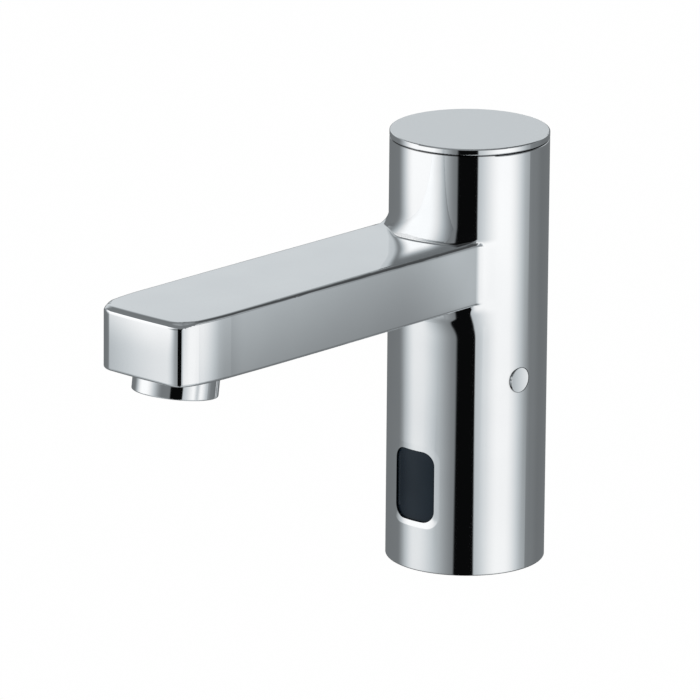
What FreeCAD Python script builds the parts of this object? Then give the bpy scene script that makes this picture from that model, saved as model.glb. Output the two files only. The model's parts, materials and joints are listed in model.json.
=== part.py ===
import FreeCAD, Part

# Sensor tap: a chromed brass column with a level rectangular spout, an infrared sensor low on its front, a lift-off
# cap over the battery, a plug over the concealed temperature setting and a screw-in aerator under the spout's tip.
# Millimetres.  The origin is the centre of the base on the deck, +Z is up and the spout points along -Y.

import math
import os
import re
import Sketcher

Vec = FreeCAD.Vector
Rot = FreeCAD.Rotation

doc = FreeCAD.newDocument("sensor_tap")

# ---------------------------------------------------------------------------------------------------------------
# Driving sizes
# ---------------------------------------------------------------------------------------------------------------

SIZES = [
    # column and cap
    ("body_r", 24.0, "outside radius of the column"),
    ("bore_r", 20.5, "main bore"),
    ("shell_top", 130.05, "top of the column's wall"),
    ("base_recess_r", 21.5, "recess for the base insert"),
    ("base_recess_z", 12.0, "depth of that recess"),
    ("cap_seat_r", 21.4, "bore above the cap's ledge"),
    ("cap_seat_z", 125.8, "ledge that the cap stands on"),
    ("cap_gap", 0.2, "hair-line under the cap's disc"),
    ("cap_thick", 2.05, "thickness of the cap's disc"),
    ("edge_r", 0.4, "softened edges of column and cap"),
    # spout
    ("spout_half", 18.25, "half width of the spout"),
    ("spout_low", 84.2, "underside of the spout"),
    ("spout_high", 104.0, "top of the spout"),
    ("spout_tip", 143.6, "reach of the tip from the column's axis"),
    ("tip_bow_r", 300.0, "slight bow of the tip's front in plan"),
    ("tip_bow_to", 2.2, "degrees off the front where the bow turns into the shoulder"),
    ("tip_shoulder_r", 6.0, "shoulder between the bow and the corner"),
    ("tip_shoulder_to", 34.0, "degrees off the front where the shoulder ends"),
    ("tip_corner_r", 3.5, "tightest stretch of the corner"),
    ("tip_corner_to", 61.0, "degrees off the front where that stretch ends"),
    ("tip_flank_r", 14.0, "flank behind the corner"),
    ("tip_flank_to", 82.0, "degrees off the front where the flank runs into the taper"),
    ("lift_r", 3200.0, "gentle upward curve of the underside towards the tip"),
    ("lift_back", 85.0, "where that curve starts"),
    ("spout_top_r", 1.5, "softened top edge where the spout leaves the column"),
    ("flank_top_r", 1.0, "the same edge just behind the tip's corner"),
    ("tip_top_r", 2.0, "the same edge across the tip's front"),
    ("spout_low_r", 1.0, "softened bottom edge"),
    ("root_r", 6.0, "blend over and under the spout where it joins the column"),
    ("root_side_r", 4.0, "blend at the sides of that joint"),
    ("way_half", 15.25, "half width of the hollow in the spout"),
    ("way_low", 87.0, "floor of that hollow"),
    ("way_high", 101.5, "ceiling of that hollow"),
    ("way_tip", 138.3, "end wall of that hollow"),
    ("pad_high", 91.5, "top of the thick pad that carries the aerator thread"),
    ("pad_back", 113.6, "back of that pad"),
    # aerator, along its own axis from the collar's lower rim
    ("aer_y", -127.9, "axis at the collar's lower rim"),
    ("aer_z", 77.5, "height of the collar's lower rim"),
    ("aer_tilt", 8.0, "degrees that the stream leans forward"),
    ("collar_r", 12.7, "outside radius of the collar"),
    ("collar_len", 8.6, "length of the collar below its thread"),
    ("collar_top", 13.2, "top of the collar's thread"),
    ("collar_bore_r", 10.6, "bore of the collar"),
    ("collar_lip_r", 10.1, "lip that holds the insert"),
    ("thread_male_r", 11.92, "collar thread"),
    ("thread_female_r", 12.0, "thread in the spout"),
    # sensor window
    ("window_low", 15.4, "bottom of the window"),
    ("window_high", 37.5, "top of the window"),
    ("window_half", 7.6, "half width of the window"),
    ("window_corner_r", 4.0, "corners of the window"),
    ("lens_gap", 0.1, "gap round the lens"),
    ("lens_face_r", 23.3, "face of the lens, set back in the window"),
    # temperature setting
    ("mix_y", -3.0, "axis of the mixing spindle"),
    ("mix_z", 59.75, "height of that axis"),
    ("mix_out_r", 6.5, "mixing chamber outside"),
    ("mix_bore_r", 4.5, "mixing chamber bore"),
    ("spindle_r", 4.42, "spindle"),
    ("plug_r", 3.82, "side plug"),
    ("plug_hole_r", 3.88, "hole for the side plug"),
    ("plug_face", 23.9, "outer face of the side plug"),
    # inlets
    ("port_x", 11.5, "offset of both inlets"),
    ("port_r", 4.5, "hose thread"),
    ("port_len", 8.0, "length of the hose thread"),
    ("stud_r", 3.4, "fixing thread"),
    ("stud_len", 9.0, "depth of the fixing thread"),
    ("riser_r", 5.0, "riser tube outside"),
    ("riser_bore_r", 3.8, "riser tube bore"),
    ("riser_low", 10.0, "foot of the risers"),
    ("riser_high", 53.9, "top of the risers"),
    ("socket_r", 5.05, "sockets for the risers"),
    # solenoid valve, along +Y
    ("valve_z", 78.5, "axis of the solenoid valve"),
    ("valve_half", 11.5, "half size of the square valve housing"),
    ("valve_front", -12.0, "front of the valve housing"),
    ("valve_back", -2.5, "joint between housing and bonnet"),
    ("seat_y", -4.0, "valve seat"),
    ("screw_at", 9.3, "bonnet screws off the axis"),
    # spout tube
    ("tube_z", 94.2, "axis of the spout tube"),
    ("tube_r", 4.0, "spout tube outside"),
    ("tube_bore_r", 3.0, "spout tube bore"),
    ("tube_back", -14.5, "back end of the spout tube"),
    ("tube_front", -114.0, "front end of the spout tube"),
    # battery
    ("cell_y", 4.5, "centre of the battery"),
    ("cell_end_x", 7.65, "centres of its round ends"),
    ("cell_r", 9.75, "radius of its round ends"),
    ("cradle_floor", 91.2, "underside of the cradle"),
    ("cradle_floor_thick", 2.0, "floor of the cradle"),
    ("cradle_top", 124.0, "rim of the cradle"),
    ("cell_low", 94.5, "underside of the battery"),
    ("cell_high", 127.5, "top of the battery"),
]

sizes = doc.addObject("Spreadsheet::Sheet", "sizes")
for row, (alias, number, note) in enumerate(SIZES, start=1):
    sizes.set("A%d" % row, alias)
    sizes.set("B%d" % row, str(number))
    sizes.set("C%d" % row, note)
    sizes.setAlias("B%d" % row, alias)
doc.recompute()

ALIAS = re.compile(r"\b(%s)\b" % "|".join(alias for alias, _, _ in SIZES))


def bind(formula):
    """A formula in the sheet's words, as an expression that reads the sheet."""
    return ALIAS.sub(r"sizes.\1", str(formula))


def value(formula):
    """The number that a formula in the sheet's words comes to."""
    number = doc.getObject("sizes").evalExpression(bind(formula))
    return float(getattr(number, "Value", number))


# ---------------------------------------------------------------------------------------------------------------
# Building helpers
# ---------------------------------------------------------------------------------------------------------------

ALONG = {
    "Z": Rot(),
    "Z, seam behind": Rot(Vec(0, 0, 1), 90),
    "-Z": Rot(Vec(1, 0, 0), 180),
    "Y": Rot(Vec(1, 0, 0), -90),
    "-Y": Rot(Vec(1, 0, 0), 90),
    "X": Rot(Vec(0, 1, 0), 90),
    "AERATOR": Rot(Vec(1, 0, 0), -value("aer_tilt")),
}
# The two inlets: side word and sign along X.
INLETS = (("cold", 1), ("hot", -1))


def place(item, at, along="Z"):
    """Set an object's local frame: its origin from formulas, its Z turned along an axis."""
    item.Placement = FreeCAD.Placement(Vec(0, 0, 0), ALONG[along])
    for letter, formula in zip("xyz", at):
        item.setExpression("Placement.Base." + letter, bind(formula))
    return item


def new_body(name, at=(0, 0, 0), along="Z"):
    return place(doc.addObject("PartDesign::Body", name), at, along)


def new_sketch(body, plane, name):
    sketch = body.newObject("Sketcher::SketchObject", name)
    origin_plane = [item for item in body.Origin.OriginFeatures if item.Role == plane + "_Plane"][0]
    sketch.AttachmentSupport = [(origin_plane, "")]
    sketch.MapMode = "FlatFace"
    return sketch


def fix(sketch, kind, geometry, point, formula):
    """A horizontal or vertical distance from the origin, bound to the sheet."""
    constraint = sketch.addConstraint(Sketcher.Constraint(kind, -1, 1, geometry, point, value(formula)))
    sketch.setExpression("Constraints[%d]" % constraint, bind(formula))


def bulge(start, end, radius):
    """An arc that turns left on its way from start to end."""
    across = end - start
    inward = Vec(-across.y, across.x, 0).normalize()
    centre = start + across / 2 + inward * math.sqrt(radius * radius - across.dot(across) / 4)
    angles = [math.atan2(spot.y - centre.y, spot.x - centre.x) for spot in (start, end)]
    return Part.ArcOfCircle(Part.Circle(centre, Vec(0, 0, 1), radius), *angles)


def outline(sketch, points):
    """A closed anticlockwise outline through formulas (x, y, radius of the arc that leaves the point, or None)."""
    spots = [Vec(value(x), value(y), 0) for x, y, _ in points]
    count = len(spots)
    first = sketch.GeometryCount
    for index, (_, _, radius) in enumerate(points):
        ends = (spots[index], spots[(index + 1) % count])
        run = bulge(*ends, value(radius)) if radius else Part.LineSegment(*ends)
        sketch.addGeometry(run, False)
    for index in range(count):
        following = first + (index + 1) % count
        sketch.addConstraint(Sketcher.Constraint("Coincident", first + index, 2, following, 1))
    for index, (x, y, radius) in enumerate(points):
        fix(sketch, "DistanceX", first + index, 1, x)
        fix(sketch, "DistanceY", first + index, 1, y)
        if radius:
            size = sketch.addConstraint(Sketcher.Constraint("Radius", first + index, value(radius)))
            sketch.setExpression("Constraints[%d]" % size, bind(radius))


def polygon(sketch, points):
    """A closed outline through points that are given as formulas."""
    outline(sketch, [(x, y, None) for x, y in points])


def circle(sketch, x, y, radius):
    ring = sketch.addGeometry(Part.Circle(Vec(value(x), value(y), 0), Vec(0, 0, 1), value(radius)), False)
    fix(sketch, "DistanceX", ring, 3, x)
    fix(sketch, "DistanceY", ring, 3, y)
    size = sketch.addConstraint(Sketcher.Constraint("Radius", ring, value(radius)))
    sketch.setExpression("Constraints[%d]" % size, bind(radius))


def pad(body, sketch, length, symmetric=False, backward=False):
    feature = body.newObject("PartDesign::Pad", sketch.Name + "_pad")
    feature.Profile = sketch
    feature.setExpression("Length", bind(length))
    feature.Midplane = symmetric
    feature.Reversed = backward
    sketch.Visibility = False
    body.Tip = feature
    return feature


def soften(body, radius, wanted):
    """A PartDesign fillet on every edge that passes the test."""
    doc.recompute()
    tip = body.Tip
    names = ["Edge%d" % number for number, edge in enumerate(tip.Shape.Edges, start=1) if wanted(edge.BoundBox)]
    fillet = body.newObject("PartDesign::Fillet", body.Name + "_round_%d" % len(body.Group))
    fillet.Base = (tip, names)
    fillet.setExpression("Radius", bind(radius))
    body.Tip = fillet
    return fillet


def turned(name, points, at=(0, 0, 0), along="Z"):
    """A body of revolution: outline as (radius, height) formulas, turned about its local Z."""
    body = new_body(name, at, along)
    sketch = new_sketch(body, "XZ", name + "_outline")
    polygon(sketch, points)
    feature = body.newObject("PartDesign::Revolution", name + "_turn")
    feature.Profile = sketch
    feature.ReferenceAxis = (sketch, ["V_Axis"])
    feature.Angle = 360
    sketch.Visibility = False
    body.Tip = feature
    return body


def ring(name, middle, section, at=(0, 0, 0), along="Z"):
    """A moulded ring of round section."""
    item = doc.addObject("Part::Torus", name)
    item.setExpression("Radius1", bind(middle))
    item.setExpression("Radius2", bind(section))
    return place(item, at, along)


def rod(name, radius, length, at, along="Z"):
    item = doc.addObject("Part::Cylinder", name)
    item.setExpression("Radius", bind(radius))
    item.setExpression("Height", bind(length))
    return place(item, at, along)


def block(name, low, high):
    """A box between two corners given as formulas."""
    item = doc.addObject("Part::Box", name)
    for side, bottom, top in zip(("Length", "Width", "Height"), low, high):
        item.setExpression(side, bind("(%s) - (%s)" % (top, bottom)))
    return place(item, low)


def chain(kind, name, first, others):
    """One boolean after another; the last result carries the name."""
    result = first
    for number, other in enumerate(others, start=1):
        step = name if number == len(others) else "%s_step_%d" % (name, number)
        feature = doc.addObject(kind, step)
        feature.Base = result
        feature.Tool = other
        result = feature
    return result


def join(name, items):
    return chain("Part::Fuse", name, items[0], items[1:])


def carve(name, base, tools):
    return chain("Part::Cut", name, base, tools)


def overlap(name, first, second):
    item = doc.addObject("Part::Common", name)
    item.Base = first
    item.Tool = second
    return item


def group(name, items):
    """Several separate solids that make up one node."""
    item = doc.addObject("Part::Compound", name)
    item.Links = items
    return item


def capsule(name, width, height, corner, depth, at):
    """An upright rounded rectangle, padded both ways along Y."""
    body = new_body(name, at)
    sketch = new_sketch(body, "XZ", name + "_outline")
    half_w = "(%s) / 2" % width
    half_h = "(%s) / 2" % height
    polygon(sketch, [("-" + half_w, "-" + half_h), (half_w, "-" + half_h), (half_w, half_h), ("-" + half_w, half_h)])
    pad(body, sketch, depth, symmetric=True)
    soften(body, corner, lambda box: box.XLength < 0.01 and box.ZLength < 0.01)
    return body


def stadium(name, end_x, radius, low, high):
    """An upright block with two round ends, as a pair of cells side by side."""
    parts = [
        rod(name + "_left", radius, "(%s) - (%s)" % (high, low), ("-(%s)" % end_x, "cell_y", low)),
        rod(name + "_right", radius, "(%s) - (%s)" % (high, low), (end_x, "cell_y", low)),
        block(
            name + "_middle",
            ("-(%s)" % end_x, "cell_y - (%s)" % radius, low),
            (end_x, "cell_y + (%s)" % radius, high),
        ),
    ]
    return join(name, parts)


def biarc(start, start_way, end, end_way):
    """Two arcs that leave one point and reach another along given directions, tangent where they meet."""
    across = end - start
    ways = start_way + end_way
    spread = 2 * (1 - start_way.dot(end_way))
    along = across.dot(ways)
    reach = (math.sqrt(along * along + spread * across.dot(across)) - along) / spread
    first = start + start_way * reach
    second = end - end_way * reach
    meeting = (first + second) / 2
    return [arc_towards(start, first, meeting), arc_towards(meeting, second, end)]


def arc_towards(start, corner, end):
    """The arc between two points whose end tangents cross at the corner."""
    half = (end - start).Length / 2
    middle = (start + end) / 2
    angle = math.acos(min(1, half / (corner - start).Length))
    sagitta = half * (1 - math.cos(angle)) / math.sin(angle)
    return Part.Arc(start, middle + (corner - middle).normalize() * sagitta, end).toShape()


def coil(name, middle, wire, pitch, length, at, along="Z"):
    """An open spring as one unbroken tube on arcs of under a quarter turn, its least gap to itself printed."""
    origin = Vec(*[value(part) for part in at])
    turn = ALONG[along]
    rise = pitch / (2 * math.pi)
    quarters = round(4 * (length - 2 * wire) / pitch)

    def spot(angle):
        return origin + turn.multVec(Vec(middle * math.cos(angle), middle * math.sin(angle), rise * angle))

    def way(angle):
        return turn.multVec(Vec(-middle * math.sin(angle), middle * math.cos(angle), rise)).normalize()

    edges = []
    for quarter in range(quarters):
        first = math.pi / 2 * quarter
        second = math.pi / 2 * (quarter + 1)
        edges.extend(biarc(spot(first), way(first), spot(second), way(second)))
    spring = sweep_round(name, Part.Wire(edges), wire, way(0))
    print(name, "least gap to itself", round(pitch * middle / math.hypot(middle, rise) - 2 * wire, 3), "mm")
    return spring


def sweep_round(name, path_shape, radius, start_way):
    """A round section swept along a wire of lines and arcs."""
    path = doc.addObject("Part::Feature", name + "_route")
    path.Shape = path_shape
    section = doc.addObject("Part::Circle", name + "_section")
    section.Radius = radius
    section.Placement = FreeCAD.Placement(path_shape.Vertexes[0].Point, Rot(Vec(0, 0, 1), start_way))
    sweep = doc.addObject("Part::Sweep", name)
    sweep.Sections = [section]
    sweep.Spine = (path, [])
    sweep.Solid = True
    sweep.Frenet = False
    return sweep


def lead(name, radius, bend, corners):
    """A round lead along straight runs, with an arc at every right-angled corner; its length is printed."""
    spots = [Vec(*[value(part) for part in corner]) for corner in corners]
    edges = []
    start = spots[0]
    for before, corner, after in zip(spots, spots[1:], spots[2:]):
        arriving = (corner - before).normalize() * bend
        leaving = (after - corner).normalize() * bend
        centre = corner - arriving + leaving
        middle = centre + (corner - centre).normalize() * bend
        edges.append(Part.makeLine(start, corner - arriving))
        edges.append(Part.Arc(corner - arriving, middle, corner + leaving).toShape())
        start = corner + leaving
    edges.append(Part.makeLine(start, spots[-1]))
    route = Part.Wire(edges)
    print(name, "length", round(route.Length, 1), "mm, bends of radius", bend, "mm")
    return sweep_round(name, route, radius, spots[1] - spots[0])


def hex_rod(name, flats, length, at, along="Z"):
    """A six-sided prism, for hexagon sockets and honeycomb cells."""
    item = doc.addObject("Part::Prism", name)
    item.Polygon = 6
    item.setExpression("Circumradius", bind("(%s) / sqrt(3)" % flats))
    item.setExpression("Height", bind(length))
    return place(item, at, along)


def aerator_point(height):
    """A point on the aerator's axis, this far above the collar's lower rim."""
    return (0, "aer_y + sin(aer_tilt) * %s" % height, "aer_z + cos(aer_tilt) * %s" % height)


def aerator_turned(name, points):
    return turned(name, points, aerator_point(0), "AERATOR")


# ---------------------------------------------------------------------------------------------------------------
# Chromed outside
# ---------------------------------------------------------------------------------------------------------------


def tip_plan():
    """The spout in plan, anticlockwise: a bowed front, and corners that ease through arcs into the straight sides."""
    x, y, facing = "0", "-spout_tip", "0"
    corner = []
    for stretch in ("bow", "shoulder", "corner", "flank"):
        radius, to = "tip_%s_r" % stretch, "tip_%s_to" % stretch
        x = "%s + %s * (sin(%s) - sin(%s))" % (x, radius, to, facing)
        y = "%s + %s * (cos(%s) - cos(%s))" % (y, radius, facing, to)
        corner.append((x, y, radius))
        facing = to
    taper = "(spout_half - (%s)) / (1 - sin(%s))" % (x, facing)
    straight_from = "%s + %s * cos(%s)" % (y, taper, facing)
    xs, ys, radii = zip(*corner)
    left = [("-(%s)" % x, y, radius) for x, y, radius in reversed(corner)]
    right = list(zip(xs, ys, radii[1:] + (taper,)))
    return (
        [("-spout_half", -2, None), ("-spout_half", straight_from, taper)]
        + left
        + right
        + [("spout_half", straight_from, None), ("spout_half", -2, None)]
    )


def top_radius(spot):
    """The spout's top edge is sharpest just behind the corner and softest across the front."""
    if spot.y < -value("spout_tip") + 3:
        return "tip_top_r"
    return "spout_top_r" if spot.y > -30 else "flank_top_r"


def shell_rounds(shape):
    """Number and radii of each edge of the casting that is rounded."""
    low, high, top = value("spout_low"), value("spout_high"), value("shell_top")
    rounds = []
    for number, edge in enumerate(shape.Edges, start=1):
        box = edge.BoundBox
        level = box.ZLength < 0.01
        at_root = box.YMin > -30 and box.YMax < -10 and box.ZMin > low - 0.01
        if at_root:
            radii = ["root_r" if level else "root_side_r"] * 2
        elif level and abs(box.ZMin - high) < 0.01:
            radii = [top_radius(vertex.Point) for vertex in (edge.Vertexes[0], edge.Vertexes[-1])]
        elif box.YMax < -10 and box.YLength > 0.01 and box.ZMax < low + 1:
            radii = ["spout_low_r"] * 2
        elif level and (box.ZMax < 0.01 or box.ZMin > top - 0.01):
            radii = ["edge_r"] * 2
        else:
            continue
        rounds.append((number, value(radii[0]), value(radii[1])))
    return rounds


def make_body_shell():
    """Column and spout in one casting, hollow, with the window, the plug's hole and the aerator's thread."""
    plan = new_body("spout_plan", (0, 0, "spout_low"))
    sketch = new_sketch(plan, "XY", "spout_plan_outline")
    outline(sketch, tip_plan())
    pad(plan, sketch, "spout_high - spout_low")
    profile = new_body("spout_profile")
    sketch = new_sketch(profile, "YZ", "spout_profile_outline")
    past_tip = "spout_tip + 1"
    outline(
        sketch,
        [
            ("-lift_back", "spout_low", None),
            (-1, "spout_low", None),
            (-1, "spout_high + 1", None),
            ("-(%s)" % past_tip, "spout_high + 1", None),
            ("-(%s)" % past_tip, "spout_low + lift_r - sqrt(lift_r ^ 2 - (%s - lift_back) ^ 2)" % past_tip, "lift_r"),
        ],
    )
    pad(profile, sketch, "2 * spout_half + 2", symmetric=True)
    column = rod("column_outside", "body_r", "shell_top", (0, 0, 0))
    joined = join("shell_outside", [column, overlap("spout_outside", plan, profile)])
    doc.recompute()
    outside = doc.addObject("Part::Fillet", "shell_softened")
    outside.Base = joined
    outside.Edges = shell_rounds(joined.Shape)

    hollow = block(
        "spout_hollow",
        ("-way_half", "-way_tip", "way_low"),
        ("way_half", -10, "way_high"),
    )
    pad_block = block("thread_pad", (-17, -139, 86), (17, "-pad_back", "pad_high"))
    middle = "(window_low + window_high) / 2"
    cutters = [
        rod("main_bore", "bore_r", "shell_top + 2", (0, 0, -1), "Z, seam behind"),
        rod("base_recess", "base_recess_r", "base_recess_z + 1", (0, 0, -1)),
        rod("cap_seat_bore", "cap_seat_r", "shell_top + 1 - cap_seat_z", (0, 0, "cap_seat_z")),
        carve("water_way", hollow, [pad_block]),
        rod("aerator_thread", "thread_female_r", 23, aerator_point(-4), "AERATOR"),
        rod("aerator_counterbore", "collar_r + 0.3", 12.8, aerator_point(-4), "AERATOR"),
        capsule(
            "window_opening",
            "2 * window_half",
            "window_high - window_low",
            "window_corner_r",
            8,
            (0, -22, middle),
        ),
        rod("plug_seat", "plug_hole_r", 5, (21, "mix_y", "mix_z"), "X"),
        rod("key_way", 2.9, 5, (17, "mix_y", "mix_z"), "X"),
    ]
    return carve("body_shell", outside, cutters)


def make_top_cap():
    """Thin disc with a ring under it that stands on the ledge in the column and carries an O-ring."""
    under = "shell_top + cap_gap"
    top = "shell_top + cap_gap + cap_thick"
    cap = turned(
        "top_cap",
        [
            (0, under),
            (19.2, under),
            (19.2, "cap_seat_z"),
            ("cap_seat_r - 0.08", "cap_seat_z"),
            ("cap_seat_r - 0.08", 127.2),
            (20, 127.2),
            (20, 129),
            ("cap_seat_r - 0.08", 129),
            ("cap_seat_r - 0.08", under),
            ("body_r", under),
            ("body_r", top),
            (0, top),
        ],
    )
    outside = value("body_r")
    soften(cap, "edge_r", lambda box: box.XMax > outside - 0.01 and box.ZLength < 0.01)
    return cap


def make_cap_o_ring():
    return ring("cap_o_ring", 20.7, 0.66, (0, 0, 128.1))


def make_side_plug():
    """Flat disc over the temperature setting, with a groove for its O-ring."""
    plug = turned(
        "side_plug",
        [
            (0, 21.05),
            ("plug_r", 21.05),
            ("plug_r", 21.7),
            (2.9, 21.7),
            (2.9, 22.8),
            ("plug_r", 22.8),
            ("plug_r", "plug_face"),
            (0, "plug_face"),
        ],
        (0, "mix_y", "mix_z"),
        "X",
    )
    face = value("plug_face")
    soften(plug, 0.15, lambda box: box.ZMin > face - 0.01 or (box.XMin > face - 0.01 and box.ZLength > 1))
    return plug


def make_plug_o_ring():
    return ring("plug_o_ring", 3.37, 0.46, (22.25, "mix_y", "mix_z"), "X")


# ---------------------------------------------------------------------------------------------------------------
# Base and inlets
# ---------------------------------------------------------------------------------------------------------------


def make_base_insert():
    """Brass base: fixing thread in the middle, a hose thread and a riser socket on either side, a gasket groove."""
    solids = [rod("insert_disc", "base_recess_r - 0.05", "base_recess_z", (0, 0, 0))]
    cutters = [
        rod("stud_thread", "stud_r", "stud_len + 1", (0, 0, -1)),
        carve(
            "gasket_groove",
            rod("gasket_groove_out", 20, 2.6, (0, 0, -1)),
            [rod("gasket_groove_in", 17.5, 2.6, (0, 0, -1))],
        ),
    ]
    for side, sign in INLETS:
        x = "%d * port_x" % sign
        solids.append(rod("insert_boss_" + side, 7.2, 7, (x, 0, "base_recess_z - 1")))
        cutters.append(rod("hose_thread_" + side, "port_r", "port_len + 1", (x, 0, -1)))
        cutters.append(rod("throat_" + side, 3.4, 3, (x, 0, "port_len - 0.5")))
        cutters.append(rod("riser_socket_" + side, "socket_r", 9, (x, 0, "riser_low")))
        cutters.append(rod("socket_groove_" + side, 6.2, 1.8, (x, 0, 13.5)))
    return carve("base_insert", join("insert_solid", solids), cutters)


def make_base_gasket():
    return turned("base_gasket", [(17.55, 0), (19.95, 0), (19.95, 1.55), (17.55, 1.55)])


def make_riser(side, sign):
    return turned(
        side + "_riser",
        [
            ("riser_bore_r", "riser_low"),
            ("riser_r", "riser_low"),
            ("riser_r", "riser_high"),
            ("riser_bore_r", "riser_high"),
        ],
        ("%d * port_x" % sign, 0, 0),
    )


def make_riser_o_rings():
    rings = []
    for side, sign in INLETS:
        for number, height in enumerate((14.4, 50.0)):
            rings.append(ring("riser_ring_%s_%d" % (side, number), 5.6, 0.57, ("%d * port_x" % sign, 0, height)))
    return group("riser_o_rings", rings)


def make_inlet_filters():
    """A perforated disc in the foot of each riser."""
    filters = []
    for side, sign in INLETS:
        disc = rod("filter_disc_" + side, 3.7, 1.6, ("%d * port_x" % sign, 0, 10.3))
        holes = [rod("filter_hole_%s_0" % side, 0.7, 3, ("%d * port_x" % sign, 0, 9.6))]
        for number in range(6):
            angle = math.radians(60 * number)
            spot = ("%d * port_x + %.4f" % (sign, 2.3 * math.cos(angle)), 2.3 * math.sin(angle), 9.6)
            holes.append(rod("filter_hole_%s_%d" % (side, number + 1), 0.7, 3, spot))
        filters.append(carve("filter_" + side, disc, [group("filter_holes_" + side, holes)]))
    return group("inlet_filters", filters)


def make_check_valve(side, sign):
    """Cartridge in the riser: a seat below, a guide plate with flow holes above."""
    x = "%d * port_x" % sign
    cage = turned(
        "check_cage_" + side,
        [
            (1.9, 12.2),
            (3.75, 12.2),
            (3.75, 24),
            (0.85, 24),
            (0.85, 22.6),
            (3, 22.6),
            (3, 13.4),
            (1.9, 13.4),
        ],
        (x, 0, 0),
    )
    holes = []
    for number in range(5):
        angle = math.radians(72 * number)
        spot = ("%s + %.4f" % (x, 2.4 * math.cos(angle)), 2.4 * math.sin(angle), 22)
        holes.append(rod("cage_hole_%s_%d" % (side, number), 0.5, 3, spot))
    return carve("check_valve_" + side, cage, [group("cage_holes_" + side, holes)])


def make_check_poppet(side, sign):
    return turned(
        "check_poppet_" + side,
        [(0, 13.4), (2.6, 13.4), (2.6, 14.6), (0.75, 14.6), (0.75, 23.4), (0, 23.4)],
        ("%d * port_x" % sign, 0, 0),
    )


def make_check_spring(side, sign):
    return coil("check_spring_" + side, 1.5, 0.25, 1.5, 8.0, ("%d * port_x" % sign, 0, 14.85))


# ---------------------------------------------------------------------------------------------------------------
# Valve body: mixing chamber across the column, diaphragm valve above it, outlet at the front
# ---------------------------------------------------------------------------------------------------------------


def make_valve_manifold():
    solids = [
        rod("mixing_chamber", "mix_out_r", 33, (-15, "mix_y", "mix_z"), "X"),
        block("mixing_neck", (-4.5, -10, 60), (4.5, "valve_back", 68)),
        block(
            "diaphragm_housing",
            ("-valve_half", "valve_front", "valve_z - valve_half"),
            ("valve_half", "valve_back", "valve_z + valve_half"),
        ),
        block("outlet_column", (-6.5, -19, 75), (6.5, -8, 100)),
    ]
    chamber = rod("annular_out", 9.5, 4, (0, -8, "valve_z"), "Y")
    cutters = [
        rod("mixing_bore", "mix_bore_r", 33.4, (-14.4, "mix_y", "mix_z"), "X"),
        rod("mixed_water_duct", 1.9, 9, (0, -6, 62)),
        carve("annular_chamber", chamber, [rod("seat_tube", 5.5, 4, (0, -8, "valve_z"), "Y")]),
        rod("diaphragm_recess", 11, 2, (0, "seat_y", "valve_z"), "Y"),
        rod("seat_hole", 4, 10, (0, -13, "valve_z"), "Y"),
        rod("outlet_rise", 3, 21.2, (0, -13, 76)),
        rod("tube_socket", 4.05, 7, (0, -20, "tube_z"), "Y"),
        rod("tube_socket_groove", 5.2, 1.8, (0, -17.6, "tube_z"), "Y"),
    ]
    for side, sign in INLETS:
        x = "%d * port_x" % sign
        solids.append(rod("manifold_boss_" + side, 6.8, 10.1, (x, 0, 46.9)))
        cutters.append(rod("manifold_socket_" + side, "socket_r", 8, (x, 0, 46)))
        cutters.append(rod("manifold_groove_" + side, 6.2, 1.8, (x, 0, 49.1)))
        cutters.append(rod("manifold_inlet_" + side, 2.6, 4, (x, 0, 53)))
        ear = ("%d * screw_at - 2" % sign, "valve_front", "valve_z + valve_half - 1")
        ear_top = ("%d * screw_at + 2" % sign, -8.2, "cradle_floor")
        solids.append(block("cradle_ear_" + side, ear, ear_top))
        cutters.append(rod("cradle_thread_" + side, 1.05, 8, ("%d * screw_at" % sign, -10.2, 85)))
    for number, (right, up) in enumerate(((1, 1), (-1, 1), (-1, -1), (1, -1))):
        spot = ("%d * screw_at" % right, -8.6, "valve_z + %d * screw_at" % up)
        cutters.append(rod("bonnet_thread_%d" % number, 1.25, 7, spot, "Y"))
    return carve("valve_manifold", join("manifold_solid", solids), cutters)


def make_mixing_spindle():
    """Turned to set the temperature: two angled inlet holes, a grooved outlet and a hexagon socket."""
    outline = [
        (2.6, -14.2),
        ("spindle_r", -14.2),
        ("spindle_r", -7.6),
        (3.5, -7.6),
        (3.5, -6.4),
        ("spindle_r", -6.4),
        ("spindle_r", -2.6),
        (3.5, -2.6),
        (3.5, 2.6),
        ("spindle_r", 2.6),
        ("spindle_r", 6.4),
        (3.5, 6.4),
        (3.5, 7.6),
        ("spindle_r", 7.6),
        ("spindle_r", 14),
        (3.5, 14),
        (3.5, 15.2),
        ("spindle_r", 15.2),
        ("spindle_r", 16.2),
        (0, 16.2),
        (0, 12.6),
        (2.6, 12.6),
    ]
    blank = turned("spindle_blank", outline, (0, "mix_y", "mix_z"), "X")
    cutters = [hex_rod("key_socket", 3, 3, (13.8, "mix_y", "mix_z"), "X")]
    for number, (x, degrees, radius) in enumerate(
        ((11.5, 145, 1.8), (-11.5, 215, 1.8), (0, 0, 1.2), (0, 90, 1.2), (0, 180, 1.2), (0, 270, 1.2))
    ):
        hole = rod("spindle_hole_%d" % number, radius, 6, (x, "mix_y", "mix_z"))
        hole.Placement = FreeCAD.Placement(hole.Placement.Base, Rot(Vec(1, 0, 0), degrees))
        cutters.append(hole)
    return carve("mixing_spindle", blank, cutters)


def make_spindle_o_rings():
    rings = []
    for number, x in enumerate((-7, 7, 14.6)):
        rings.append(ring("spindle_ring_%d" % number, 3.98, 0.46, (x, "mix_y", "mix_z"), "X"))
    return group("spindle_o_rings", rings)


def make_spindle_retainer():
    """Threaded ring that keeps the spindle in; the key passes through it."""
    return turned(
        "spindle_retainer",
        [(2.4, 16.3), (4.45, 16.3), (4.45, 17.8), (2.4, 17.8)],
        (0, "mix_y", "mix_z"),
        "X",
    )


# ---------------------------------------------------------------------------------------------------------------
# Solenoid valve, on an axis along +Y
# ---------------------------------------------------------------------------------------------------------------


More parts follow.
